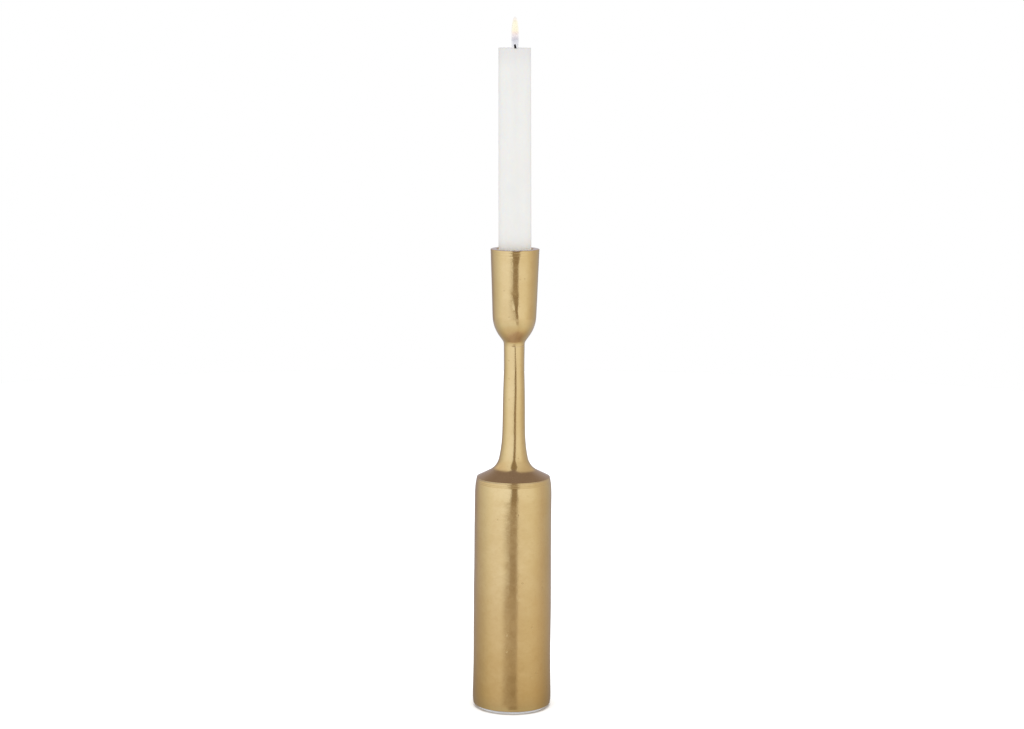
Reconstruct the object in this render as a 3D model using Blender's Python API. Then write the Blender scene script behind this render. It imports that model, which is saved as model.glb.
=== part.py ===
"""Brass pillar candle holder with a straight household candle standing in its cup.

The frame is metres with +Z up. The origin is the centre of the felt pad's underside, where
the holder stands on a table, and the Z axis is the axis that the holder was turned about.

Three brass castings are stacked and drawn together by one long rod: the hollow pillar, the
stem with its flared shoulder, and the candle cup. The rod is screwed into the underside of
the cup. Its nut pulls a steel plate up against a ledge inside the pillar. A fibreboard disc
closes the foot, and a felt pad covers it.

Lengths are in millimetres up to the point where a mesh is made, and MM turns them into metres.
"""

import math

import bmesh
import bpy
from mathutils import Matrix

MM = 0.001
GAP = 0.3            # left between two pieces that touch
SIDES = 48           # flats around the castings and the candle
SMALL_SIDES = 24     # flats around the rod, the washers and the nut
TINY = 1e-6          # metres: points closer than this are one point
SMOOTH_ANGLE = 32.0  # degrees: edges sharper than this stay crisp

# Heights above the table
METAL_BASE = 2.0     # underside of the pillar's foot ring
LEDGE_HEIGHT = 20.0  # the ledge in the pillar that the steel plate bears on
BODY_RIM_HEIGHT = 156.0
SHOULDER_HEIGHT = 156.7
STEM_TOP = 244.6
RIM_HEIGHT = 309.0
CANDLE_LENGTH = 180.0

# Felt pad and fibreboard disc
PAD_RADIUS = 23.4
PAD_THICKNESS = METAL_BASE - GAP
BOARD_RADIUS = 23.1
BOARD_THICKNESS = 2.0

# Hollow pillar: its outer side from the foot up as (radius, height), a soft crown that
# draws in to the shoulder, and the radii of the bores inside it
FOOT_CORNER = (25.85, METAL_BASE)
FOOT_EDGE = 0.5
PILLAR_SIDE = [(26.25, 8.0), (26.0, 22.0), (25.86, 36.0), (25.94, 74.0), (25.72, 107.0),
               (25.62, 143.0)]
CROWN = [(25.6, 147.0), (25.56, 150.4), (25.14, 153.6), (24.46, BODY_RIM_HEIGHT)]
BOARD_BORE = 23.4
LOWER_BORE = 23.0
UPPER_BORE = 21.8
BOARD_STEP_HEIGHT = METAL_BASE + BOARD_THICKNESS + GAP

# Stem: a cone rises from the shoulder and sweeps up into the thin neck
SHOULDER_RADIUS = 24.4
CONE_ANGLE = 26.5    # degrees above the horizontal
CONE_LENGTH = 8.9
TIGHT_FLARE = 13.0   # radius of the sweep beside the cone
LOOSE_FLARE = 90.0   # radius of the sweep beside the neck
TIGHT_END = 78.0     # degrees above the horizontal where the two sweeps meet
LOOSE_END = 89.0
NECK_PULL = 15.0     # how far the neck keeps the sweep's last slope
WAIST_PULL = (7.4, 208.0)
WAIST = (6.75, 228.0)
STEM_TOP_PULLS = [(6.62, 232.0), (6.74, 240.0)]
STEM_TOP_RADIUS = 6.9
SPIGOT_RADIUS = UPPER_BORE - GAP
SPIGOT_DEPTH = 5.0
HOLLOW_RADIUS = 18.5
HOLLOW_TOP = 158.5
HOLLOW_TOP_RADIUS = 9.0

# Candle cup: a small fillet off the stem, then the round of the bowl, then a straight wall
CUP_FILLET_PULLS = [(6.9, 246.3), (7.3, 246.8)]
CUP_NECK = (8.1, 248.2)
CUP_BOWL_PULLS = [(10.4, 252.3), (14.1, 256.1)]
CUP_WALL_BASE = (14.45, 264.9)
CUP_RIM_RADIUS = 16.13
SOCKET_MOUTH_RADIUS = 12.0
SOCKET_FLOOR_RADIUS = 11.4
SOCKET_DEPTH = 49.4
LIP_EDGE = 0.5
REGISTER_RADIUS = 4.8
REGISTER_DEPTH = 3.0

# Rod, steel plate, washers and nut
ROD_RADIUS = 3.0
ROD_HOLE_RADIUS = ROD_RADIUS + GAP
ROD_BASE = 5.2
ROD_TOP = 253.9
ROD_CHAMFER = 0.6
ROD_HOLE_SPARE = 0.6  # blind depth in the cup past the end of the rod
PLATE_RADIUS = LOWER_BORE - GAP
PLATE_THICKNESS = 3.0
WASHER_RADIUS = 6.0
WASHER_THICKNESS = 1.6
SPRING_WASHER_RADIUS = 5.6
SPRING_WASHER_TURN = 342.0  # degrees of ring; the rest is the split
NUT_FLATS = 10.0
NUT_HEIGHT = 5.0
NUT_CHAMFER_RADIUS = 4.9
NUT_CHAMFER_ANGLE = 30.0

# Candle and wick
CANDLE_BASE_RADIUS = 10.85
CANDLE_TOP_RADIUS = 10.6
CANDLE_EDGE = 0.6
WICK_RADIUS = 0.7
WICK_BORE = WICK_RADIUS + GAP
WICK_RISE = 2.9      # bare wick above the wax
WICK_LEAN = 16.0     # degrees from upright, towards -X
POOL_DEPTH = 0.9     # the melted hollow in the top of the wax
POOL_LIP = 1.2       # from the candle's side to the edge of the hollow
POOL_PULLS = (2.5, 3.0)

SOCKET_FLOOR = RIM_HEIGHT - SOCKET_DEPTH
CANDLE_BASE = SOCKET_FLOOR + GAP
CANDLE_TOP = CANDLE_BASE + CANDLE_LENGTH
CUP_BASE = STEM_TOP + GAP
PLATE_TOP = LEDGE_HEIGHT - GAP
WASHER_TOP = PLATE_TOP - PLATE_THICKNESS - GAP
SPRING_WASHER_TOP = WASHER_TOP - WASHER_THICKNESS - GAP
NUT_TOP = SPRING_WASHER_TOP - WASHER_THICKNESS - GAP


# Outlines: lists of (radius, height) points

def bezier(start, start_pull, end_pull, end, steps):
    """Points along a cubic Bezier curve, both ends included."""
    pulls = (start, start_pull, end_pull, end)
    points = []
    for step in range(steps + 1):
        t = step / steps
        weights = ((1 - t) ** 3, 3 * t * (1 - t) ** 2, 3 * t * t * (1 - t), t ** 3)
        radius = sum(weight * pull[0] for weight, pull in zip(weights, pulls))
        height = sum(weight * pull[1] for weight, pull in zip(weights, pulls))
        points.append((radius, height))
    return points


def sweep(start, start_slope, end_slope, radius, steps):
    """Points after start on an arc that climbs inwards, its slope going from one to the other.

    The slopes are in degrees above the horizontal, seen walking in towards the axis.
    """
    first = math.radians(start_slope)
    last = math.radians(end_slope)
    points = []
    for step in range(1, steps + 1):
        slope = first + (last - first) * step / steps
        inwards = radius * (math.sin(slope) - math.sin(first))
        upwards = radius * (math.cos(first) - math.cos(slope))
        points.append((start[0] - inwards, start[1] + upwards))
    return points


def round_corner(before, corner, after, radius, steps=3):
    """Points of the fillet that replaces a corner between its two neighbours."""
    def unit(target):
        across, up = target[0] - corner[0], target[1] - corner[1]
        length = math.hypot(across, up)
        return across / length, up / length

    to_before, to_after = unit(before), unit(after)
    dot = to_before[0] * to_after[0] + to_before[1] * to_after[1]
    half_angle = math.acos(dot) / 2
    reach = radius / math.tan(half_angle)
    start = [corner[i] + reach * to_before[i] for i in (0, 1)]
    end = [corner[i] + reach * to_after[i] for i in (0, 1)]
    pull = 4 / 3 * math.tan((math.pi / 2 - half_angle) / 2) * radius
    start_pull = [start[i] - pull * to_before[i] for i in (0, 1)]
    end_pull = [end[i] - pull * to_after[i] for i in (0, 1)]
    return bezier(start, start_pull, end_pull, end, steps)


# Meshes

def make_material(name, colour, roughness, metallic):
    """A plain Principled material; the colour is linear RGB."""
    material = bpy.data.materials.new(name)
    material.use_nodes = True
    shader = material.node_tree.nodes["Principled BSDF"]
    shader.inputs["Base Color"].default_value = (*colour, 1.0)
    shader.inputs["Roughness"].default_value = roughness
    shader.inputs["Metallic"].default_value = metallic
    return material


def add_object(name, bm, material):
    """Close a bmesh into a named, smoothly shaded object in the scene."""
    bmesh.ops.remove_doubles(bm, verts=bm.verts, dist=TINY)
    bmesh.ops.recalc_face_normals(bm, faces=bm.faces)
    mesh = bpy.data.meshes.new(name)
    bm.to_mesh(mesh)
    bm.free()
    mesh.shade_smooth()
    mesh.set_sharp_from_angle(angle=math.radians(SMOOTH_ANGLE))
    mesh.materials.append(material)
    made = bpy.data.objects.new(name, mesh)
    bpy.context.scene.collection.objects.link(made)
    return made


def spin_outline(bm, outline, sides, turn=360.0):
    """Turn a closed outline about Z; an edge that lies on the axis sweeps nothing."""
    corners = [bm.verts.new((radius * MM, 0.0, height * MM)) for radius, height in outline]
    edges = []
    for corner, following in zip(corners, corners[1:] + corners[:1]):
        if max(corner.co.x, following.co.x) > TINY:
            edges.append(bm.edges.new((corner, following)))
    bmesh.ops.spin(bm, geom=corners + edges, cent=(0, 0, 0), axis=(0, 0, 1),
                   angle=math.radians(turn), steps=sides, use_merge=turn == 360.0)


def turned(name, outline, material, sides=SIDES):
    bm = bmesh.new()
    spin_outline(bm, outline, sides)
    return add_object(name, bm, material)


def disc(inner_radius, outer_radius, base, top):
    """The outline of a flat disc, or of a flat ring when the inner radius isn't zero."""
    return [(inner_radius, base), (outer_radius, base), (outer_radius, top), (inner_radius, top)]


# The foot

def make_felt_pad():
    grey_felt = make_material("grey_felt", (0.66, 0.66, 0.68), 0.95, 0.0)
    return turned("felt_pad", disc(0.0, PAD_RADIUS, 0.0, PAD_THICKNESS), grey_felt)


def make_backing_board():
    fibreboard = make_material("fibreboard", (0.26, 0.17, 0.09), 0.9, 0.0)
    outline = disc(0.0, BOARD_RADIUS, METAL_BASE, METAL_BASE + BOARD_THICKNESS)
    return turned("backing_board", outline, fibreboard)


# The three castings

def make_pillar_body():
    """A cast tube with a ledge inside for the plate and a wider mouth below for the board."""
    cast_brass = make_material("pillar_brass", (0.72, 0.53, 0.27), 0.28, 1.0)
    mouth = (BOARD_BORE, METAL_BASE)
    outside = [mouth]
    outside += round_corner(mouth, FOOT_CORNER, PILLAR_SIDE[0], FOOT_EDGE)
    outside += PILLAR_SIDE
    outside += bezier(*CROWN, 4)
    inside = [
        (UPPER_BORE, BODY_RIM_HEIGHT),
        (UPPER_BORE, LEDGE_HEIGHT),
        (LOWER_BORE, LEDGE_HEIGHT),
        (LOWER_BORE, BOARD_STEP_HEIGHT),
        (BOARD_BORE, BOARD_STEP_HEIGHT),
    ]
    return turned("pillar_body", outside + inside, cast_brass)


def make_stem():
    """The shoulder sits on the pillar's rim, with a spigot down its bore."""
    cast_brass = make_material("stem_brass", (0.70, 0.51, 0.26), 0.30, 1.0)
    seat = BODY_RIM_HEIGHT + GAP
    spigot_base = seat - SPIGOT_DEPTH
    cone = math.radians(CONE_ANGLE)
    cone_top = (SHOULDER_RADIUS - CONE_LENGTH * math.cos(cone),
                SHOULDER_HEIGHT + CONE_LENGTH * math.sin(cone))
    tight = sweep(cone_top, CONE_ANGLE, TIGHT_END, TIGHT_FLARE, 6)
    loose = sweep(tight[-1], TIGHT_END, LOOSE_END, LOOSE_FLARE, 3)
    neck_base = loose[-1]
    lean = math.radians(LOOSE_END)
    neck_pull = (neck_base[0] - NECK_PULL * math.cos(lean),
                 neck_base[1] + NECK_PULL * math.sin(lean))
    neck = bezier(neck_base, neck_pull, WAIST_PULL, WAIST, 4)
    top = bezier(WAIST, *STEM_TOP_PULLS, (STEM_TOP_RADIUS, STEM_TOP), 2)
    outside = [(SHOULDER_RADIUS, seat), (SHOULDER_RADIUS, SHOULDER_HEIGHT), cone_top]
    outside += tight + loose + neck[1:] + top[1:]
    register_radius = REGISTER_RADIUS + GAP
    register_floor = CUP_BASE - REGISTER_DEPTH - GAP
    inside = [
        (register_radius, STEM_TOP),
        (register_radius, register_floor),
        (ROD_HOLE_RADIUS, register_floor),
        (ROD_HOLE_RADIUS, HOLLOW_TOP),
        (HOLLOW_TOP_RADIUS, HOLLOW_TOP),
        (HOLLOW_RADIUS, spigot_base),
        (SPIGOT_RADIUS, spigot_base),
        (SPIGOT_RADIUS, seat),
    ]
    return turned("stem", outside + inside, cast_brass)


def make_candle_cup():
    """A tapered bowl with a thick lip, a tapered socket above and a blind rod hole below."""
    cast_brass = make_material("cup_brass", (0.74, 0.56, 0.30), 0.26, 1.0)
    register_base = CUP_BASE - REGISTER_DEPTH
    rod_hole_top = ROD_TOP + ROD_HOLE_SPARE
    rim = (CUP_RIM_RADIUS, RIM_HEIGHT)
    mouth = (SOCKET_MOUTH_RADIUS, RIM_HEIGHT)
    floor_corner = (SOCKET_FLOOR_RADIUS, SOCKET_FLOOR)
    outline = [
        (0.0, rod_hole_top),
        (ROD_HOLE_RADIUS, rod_hole_top),
        (ROD_HOLE_RADIUS, register_base),
        (REGISTER_RADIUS, register_base),
        (REGISTER_RADIUS, CUP_BASE),
    ]
    fillet = bezier((STEM_TOP_RADIUS, CUP_BASE), *CUP_FILLET_PULLS, CUP_NECK, 2)
    bowl = bezier(CUP_NECK, *CUP_BOWL_PULLS, CUP_WALL_BASE, 8)
    outline += fillet + bowl[1:]
    outline += round_corner(CUP_WALL_BASE, rim, mouth, LIP_EDGE, 2)
    outline += round_corner(rim, mouth, floor_corner, LIP_EDGE, 2)
    outline += [floor_corner, (0.0, SOCKET_FLOOR)]
    return turned("candle_cup", outline, cast_brass)


# The hidden ironwork that holds the castings together

def make_base_plate():
    steel = make_material("plate_steel", (0.42, 0.41, 0.40), 0.45, 1.0)
    outline = disc(ROD_HOLE_RADIUS, PLATE_RADIUS, PLATE_TOP - PLATE_THICKNESS, PLATE_TOP)
    return turned("base_plate", outline, steel)


def make_tie_rod():
    zinc_steel = make_material("rod_steel", (0.50, 0.50, 0.48), 0.35, 1.0)
    tip_radius = ROD_RADIUS - ROD_CHAMFER
    outline = [
        (0.0, ROD_BASE),
        (tip_radius, ROD_BASE),
        (ROD_RADIUS, ROD_BASE + ROD_CHAMFER),
        (ROD_RADIUS, ROD_TOP - ROD_CHAMFER),
        (tip_radius, ROD_TOP),
        (0.0, ROD_TOP),
    ]
    return turned("tie_rod", outline, zinc_steel, SMALL_SIDES)


def make_flat_washer():
    zinc_steel = make_material("flat_washer_steel", (0.52, 0.52, 0.50), 0.35, 1.0)
    outline = disc(ROD_HOLE_RADIUS, WASHER_RADIUS, WASHER_TOP - WASHER_THICKNESS, WASHER_TOP)
    return turned("flat_washer", outline, zinc_steel, SMALL_SIDES)


def make_spring_washer():
    """A square-section ring, drawn flat by the nut, with a narrow slot on the +X side."""
    spring_steel = make_material("spring_washer_steel", (0.30, 0.30, 0.30), 0.40, 1.0)
    base = SPRING_WASHER_TOP - WASHER_THICKNESS
    bm = bmesh.new()
    outline = disc(ROD_HOLE_RADIUS, SPRING_WASHER_RADIUS, base, SPRING_WASHER_TOP)
    spin_outline(bm, outline, SMALL_SIDES, SPRING_WASHER_TURN)
    open_edges = [edge for edge in bm.edges if edge.is_boundary]
    bmesh.ops.holes_fill(bm, edges=open_edges, sides=4)
    half_slot = math.radians(360.0 - SPRING_WASHER_TURN) / 2
    bmesh.ops.rotate(bm, verts=bm.verts, cent=(0, 0, 0), matrix=Matrix.Rotation(half_slot, 3, "Z"))
    return add_object("spring_washer", bm, spring_steel)


def make_hex_nut():
    """Rings of points, bridged in order: the bore, the chamfered top, the flats, the base."""
    zinc_steel = make_material("nut_steel", (0.50, 0.50, 0.47), 0.35, 1.0)
    base = NUT_TOP - NUT_HEIGHT
    chamfer_slope = math.tan(math.radians(NUT_CHAMFER_ANGLE))
    sector = math.radians(60.0)
    columns = []
    for side in range(SMALL_SIDES):
        angle = 2 * math.pi * side / SMALL_SIDES
        off_flat = angle % sector - sector / 2
        flat_radius = NUT_FLATS / 2 / math.cos(off_flat)
        drop = (flat_radius - NUT_CHAMFER_RADIUS) * chamfer_slope
        column = [
            (ROD_HOLE_RADIUS, base),
            (ROD_HOLE_RADIUS, NUT_TOP),
            (NUT_CHAMFER_RADIUS, NUT_TOP),
            (flat_radius, NUT_TOP - drop),
            (flat_radius, base + drop),
            (NUT_CHAMFER_RADIUS, base),
        ]
        columns.append([(radius * math.cos(angle) * MM, radius * math.sin(angle) * MM,
                         height * MM) for radius, height in column])
    bm = bmesh.new()
    levels = range(len(columns[0]))
    rings = [[bm.verts.new(column[level]) for column in columns] for level in levels]
    for lower, upper in zip(rings, rings[1:] + rings[:1]):
        for side in range(SMALL_SIDES):
            following = (side + 1) % SMALL_SIDES
            bm.faces.new((lower[side], lower[following], upper[following], upper[side]))
    return add_object("hex_nut", bm, zinc_steel)


# The candle, which lifts out of the cup along Z

def make_candle():
    """Wax with a bore for the wick and a shallow melted hollow in its top."""
    wax = make_material("wax", (0.86, 0.85, 0.81), 0.45, 0.0)
    top_corner = (CANDLE_TOP_RADIUS, CANDLE_TOP)
    wall_base = (CANDLE_BASE_RADIUS, CANDLE_BASE + CANDLE_EDGE)
    pool_edge = (CANDLE_TOP_RADIUS - POOL_LIP, CANDLE_TOP)
    pool_floor = CANDLE_TOP - POOL_DEPTH
    pool_middle = (WICK_BORE, pool_floor)
    outline = [
        (WICK_BORE, CANDLE_BASE),
        (CANDLE_BASE_RADIUS - CANDLE_EDGE, CANDLE_BASE),
        wall_base,
    ]
    outline += round_corner(wall_base, top_corner, pool_edge, CANDLE_EDGE)
    outline += bezier(pool_edge, (pool_edge[0] - POOL_PULLS[0], pool_floor),
                      (WICK_BORE + POOL_PULLS[1], pool_floor), pool_middle, 4)
    return turned("candle", outline, wax)


def make_wick():
    """A cord the whole length of the wax, leaning over where it stands bare above it."""
    burnt_cotton = make_material("burnt_cotton", (0.02, 0.017, 0.015), 0.9, 0.0)
    lean = math.radians(WICK_LEAN)
    exit_height = CANDLE_TOP - POOL_DEPTH
    bare = CANDLE_TOP + WICK_RISE - exit_height
    tip = (-bare * math.tan(lean), CANDLE_TOP + WICK_RISE)
    route = [(0.0, CANDLE_BASE + GAP)]
    route += bezier((0.0, exit_height), (0.0, exit_height + bare / 3),
                    (tip[0] / 2, exit_height + bare * 2 / 3), tip, 4)
    curve = bpy.data.curves.new("wick", "CURVE")
    curve.dimensions = "3D"
    curve.bevel_depth = WICK_RADIUS * MM
    curve.bevel_resolution = 2
    curve.use_fill_caps = True
    spline = curve.splines.new("POLY")
    spline.points.add(len(route) - 1)
    for point, (across, height) in zip(spline.points, route):
        point.co = (across * MM, 0.0, height * MM, 1.0)
    curve.materials.append(burnt_cotton)
    wick = bpy.data.objects.new("wick", curve)
    bpy.context.scene.collection.objects.link(wick)
    return wick


def main():
    for old in list(bpy.data.objects):
        bpy.data.objects.remove(old, do_unlink=True)
    make_felt_pad()
    make_backing_board()
    make_pillar_body()
    make_stem()
    make_candle_cup()
    make_base_plate()
    make_tie_rod()
    make_flat_washer()
    make_spring_washer()
    make_hex_nut()
    make_candle()
    make_wick()


main()
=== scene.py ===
import math

import bmesh
import bpy
import numpy as np
from mathutils import Matrix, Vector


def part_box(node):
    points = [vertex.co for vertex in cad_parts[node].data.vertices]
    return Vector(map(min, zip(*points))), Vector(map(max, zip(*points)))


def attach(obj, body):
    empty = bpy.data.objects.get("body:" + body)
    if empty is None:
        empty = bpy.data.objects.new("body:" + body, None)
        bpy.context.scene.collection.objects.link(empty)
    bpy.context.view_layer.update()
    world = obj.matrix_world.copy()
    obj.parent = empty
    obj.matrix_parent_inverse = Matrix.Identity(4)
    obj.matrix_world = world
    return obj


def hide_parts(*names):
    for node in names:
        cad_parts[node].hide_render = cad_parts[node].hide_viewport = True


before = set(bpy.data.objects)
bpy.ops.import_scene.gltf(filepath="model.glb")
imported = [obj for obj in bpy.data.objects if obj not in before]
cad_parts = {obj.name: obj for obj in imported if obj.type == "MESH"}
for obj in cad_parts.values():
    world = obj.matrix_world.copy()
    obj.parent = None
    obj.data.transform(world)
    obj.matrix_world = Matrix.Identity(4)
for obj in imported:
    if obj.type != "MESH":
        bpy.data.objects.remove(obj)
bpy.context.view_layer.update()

# A brass candle holder with a lit household candle. Lengths in the outlines are millimetres,
# and MM turns them into the scene's metres. Heights that the frame knows come from it.

MM = 0.001
SEED = 7
STEP = 0.55           # mm between points up a casting's visible side
FINE_STEP = 0.14      # mm between points where fine lines are turned into the metal
GAP = 0.3             # mm that the CAD leaves between two pieces that touch
SEAM = 0.03           # mm left on each side of the hairline between two castings


def low(node):
    """A CAD node's lowest height in mm."""
    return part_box(node)[0].z / MM


def high(node):
    """A CAD node's greatest height in mm."""
    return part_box(node)[1].z / MM


def reach(node):
    """A CAD node's outer radius in mm."""
    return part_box(node)[1].x / MM


METAL_BASE = low("pillar_body")
BODY_RIM = high("pillar_body")
STEM_TOP = high("stem")
RIM = high("candle_cup")
RIM_RADIUS = reach("candle_cup")
CANDLE_BASE = low("candle")
CANDLE_TOP = high("candle")
CANDLE_RADIUS = reach("candle")
PAD_TOP = high("felt_pad")
PAD_RADIUS = reach("felt_pad") - 0.5   # the felt that shows is a little smaller
SHOULDER_RADIUS = reach("stem")
SHOULDER = BODY_RIM + 0.7
SPIGOT_BASE = low("stem")
SOCKET_FLOOR = CANDLE_BASE - GAP
CUP_BASE = STEM_TOP + GAP
CUP_LOW = low("candle_cup")
ROD_BASE = low("tie_rod")
ROD_TOP = high("tie_rod")
ROD_RADIUS = reach("tie_rod")


# Outlines: (radius, height) points

def bezier(start, start_pull, end_pull, end, steps):
    """Points along a cubic curve, both ends included."""
    t = np.linspace(0.0, 1.0, steps + 1)[:, None]
    weights = ((1 - t) ** 3, 3 * t * (1 - t) ** 2, 3 * t * t * (1 - t), t ** 3)
    pulls = (start, start_pull, end_pull, end)
    return [tuple(point) for point in sum(w * np.array(p) for w, p in zip(weights, pulls))]


def sweep(start, start_slope, end_slope, radius, steps):
    """Points after start on an arc that climbs inwards between two slopes in degrees."""
    first = math.radians(start_slope)
    last = math.radians(end_slope)
    points = []
    for step in range(1, steps + 1):
        slope = first + (last - first) * step / steps
        points.append((start[0] - radius * (math.sin(slope) - math.sin(first)),
                       start[1] + radius * (math.cos(first) - math.cos(slope))))
    return points


def fillet(before, corner, after, radius, steps=6):
    """The round that replaces a corner between its two neighbours."""
    corner = np.array(corner)
    to_before = np.array(before) - corner
    to_after = np.array(after) - corner
    to_before = to_before / np.linalg.norm(to_before)
    to_after = to_after / np.linalg.norm(to_after)
    half_angle = math.acos(float(to_before @ to_after)) / 2
    start = corner + to_before * radius / math.tan(half_angle)
    end = corner + to_after * radius / math.tan(half_angle)
    pull = 4 / 3 * math.tan((math.pi / 2 - half_angle) / 2) * radius
    return bezier(start, start - to_before * pull, end - to_after * pull, end, steps)


def smooth_through(points, steps):
    """A smooth curve through the points, its slope at each one set by its neighbours."""
    points = [np.array(point) for point in points]
    curve = [tuple(points[0])]
    for index in range(len(points) - 1):
        before = points[max(index - 1, 0)]
        start, end = points[index], points[index + 1]
        after = points[min(index + 2, len(points) - 1)]
        curve += bezier(start, start + (end - before) / 6, end - (after - start) / 6, end,
                        steps)[1:]
    return curve


def spaced(points, step, fine_step=None, fine_zones=()):
    """The same polyline with points at an even step, or a finer one in some heights."""
    points = np.array(points)
    result = [tuple(points[0])]
    for start, end in zip(points[:-1], points[1:]):
        middle = (start[1] + end[1]) / 2
        here = step
        if any(bottom < middle < top for bottom, top in fine_zones):
            here = fine_step
        pieces = max(1, int(np.linalg.norm(end - start) / here))
        result += [tuple(start + (end - start) * k / pieces) for k in range(1, pieces + 1)]
    return result


# Relief: the small unevenness of hand-finished metal, in mm, as a function of place

def plane_waves(points, shortest, longest, slope, count, draw):
    """A smooth random field in mm; slope is its typical steepness."""
    total = np.zeros(len(points))
    for _ in range(count):
        length = shortest * (longest / shortest) ** draw.random()
        direction = draw.normal(size=3)
        direction /= np.linalg.norm(direction)
        phase = draw.random() * 2 * math.pi
        rate = 2 * math.pi / length
        height = slope / rate * math.sqrt(2 / count)
        total += height * np.cos(points @ direction * rate + phase)
    return total


def dents(points, places, size, depth):
    """Shallow round hollows, each with its own width and depth."""
    total = np.zeros(len(points))
    for place, width, sink in zip(places, size, depth):
        away = ((points - place) ** 2).sum(axis=1)
        total -= sink * np.exp(-away / width ** 2)
    return total


def grooves(heights, lines, width, depth):
    """Fine lines turned into the metal at the given heights."""
    total = np.zeros(len(heights))
    for line in lines:
        total -= depth * np.exp(-((heights - line) / width) ** 2)
    return total


# Meshes

ON_AXIS = 1e-6        # mm: a radius below this is none
SHARP_ANGLE = 35.0    # degrees: edges sharper than this stay crisp


def add_object(name, data):
    made = bpy.data.objects.new(name, data)
    bpy.context.scene.collection.objects.link(made)
    return made


def turned(name, visible, hidden, relief, around):
    """Turn a closed outline about Z.

    Its visible side runs up the outside. relief moves that side's points along their normals.
    Points on the axis become one point.
    """
    outline = np.array(list(visible) + list(hidden))
    shown = len(visible)
    angles = np.linspace(0.0, 2 * math.pi, around, endpoint=False)
    ring = np.stack([np.cos(angles), np.sin(angles)], axis=1)
    places = np.empty((len(outline), around, 3))
    places[:, :, :2] = outline[:, None, :1] * ring[None]
    places[:, :, 2] = outline[:, None, 1]
    along = np.gradient(outline[:shown], axis=0)
    along /= np.linalg.norm(along, axis=1)[:, None]
    points = places[:shown].reshape(-1, 3)
    height = relief(points).reshape(shown, around)
    places[:shown, :, :2] += (height * along[:, None, 1])[:, :, None] * ring[None]
    places[:shown, :, 2] -= height * along[:, None, 0]
    verts = []
    rows = []
    for level, (radius, up) in enumerate(outline):
        if radius < ON_AXIS:
            rows.append([len(verts)] * around)
            verts.append((0.0, 0.0, up))
        else:
            rows.append(list(range(len(verts), len(verts) + around)))
            verts.extend(map(tuple, places[level]))
    faces = []
    for lower, upper in zip(rows, rows[1:] + rows[:1]):
        if lower[0] == lower[1] and upper[0] == upper[1]:
            continue
        for side in range(around):
            following = (side + 1) % around
            corners = (lower[side], lower[following], upper[following], upper[side])
            faces.append(tuple(dict.fromkeys(corners)))
    mesh = bpy.data.meshes.new(name)
    mesh.from_pydata([tuple(c * MM for c in vert) for vert in verts], [], faces)
    mesh.shade_smooth()
    mesh.set_sharp_from_angle(angle=math.radians(SHARP_ANGLE))
    return add_object(name, mesh)


# Materials: short calls that build node trees

def node(tree, kind, inputs=None, **settings):
    made = tree.nodes.new(kind)
    for key, value in settings.items():
        setattr(made, key, value)
    for key, value in (inputs or {}).items():
        socket = made.inputs[key]
        if isinstance(value, bpy.types.NodeSocket):
            tree.links.new(value, socket)
        else:
            socket.default_value = value
    return made


def maths(tree, operation, first, second=0.0):
    return node(tree, "ShaderNodeMath", {0: first, 1: second}, operation=operation).outputs[0]


def spread(tree, value, from_low, from_high, to_low=0.0, to_high=1.0, smooth=True):
    """Map a value from one range onto another and hold it at the ends."""
    kind = "SMOOTHSTEP" if smooth else "LINEAR"
    made = node(tree, "ShaderNodeMapRange",
                {"Value": value, "From Min": from_low, "From Max": from_high,
                 "To Min": to_low, "To Max": to_high}, interpolation_type=kind)
    return made.outputs["Result"]


def ramp(tree, value, stops):
    """A colour ramp; stops are (place, grey or linear RGB)."""
    made = node(tree, "ShaderNodeValToRGB", {"Fac": value})
    elements = made.color_ramp.elements
    while len(elements) > 1:
        elements.remove(elements[-1])
    for index, (place, colour) in enumerate(stops):
        element = elements[0] if index == 0 else elements.new(place)
        element.position = place
        rgb = (colour,) * 3 if isinstance(colour, (int, float)) else colour
        element.color = (*rgb, 1.0)
    return made.outputs["Color"]


def blend_colours(tree, share, first, second, how="MIX"):
    made = node(tree, "ShaderNodeMix", data_type="RGBA", blend_type=how)
    sockets = {"Factor": 0, "A": 6, "B": 7}
    for key, value in (("Factor", share), ("A", first), ("B", second)):
        socket = made.inputs[sockets[key]]
        if isinstance(value, bpy.types.NodeSocket):
            tree.links.new(value, socket)
        elif key == "Factor":
            socket.default_value = value
        else:
            socket.default_value = (*value, 1.0)
    return made.outputs[2]


def height_of(tree, place):
    return node(tree, "ShaderNodeSeparateXYZ", {"Vector": place}).outputs["Z"]


def stretched(tree, place, scale):
    return node(tree, "ShaderNodeMapping", {"Vector": place, "Scale": scale}).outputs["Vector"]


def cloud(tree, place, scale, detail=3.0, roughness=0.5):
    made = node(tree, "ShaderNodeTexNoise",
                {"Vector": place, "Scale": scale, "Detail": detail, "Roughness": roughness})
    return made.outputs["Fac"]


def bump(tree, height, distance, under=None):
    """A bumpy normal; distance is the bump's height in metres."""
    inputs = {"Height": height, "Distance": distance, "Strength": 1.0}
    if under is not None:
        inputs["Normal"] = under
    return node(tree, "ShaderNodeBump", inputs).outputs["Normal"]


def start_material(name):
    material = bpy.data.materials.new(name)
    material.use_nodes = True
    tree = material.node_tree
    place = node(tree, "ShaderNodeTexCoord").outputs["Object"]
    return material, tree, tree.nodes["Principled BSDF"], place


PITTED_SHARE = 0.07   # of the small cells that the brass's surface is cut into


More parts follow.
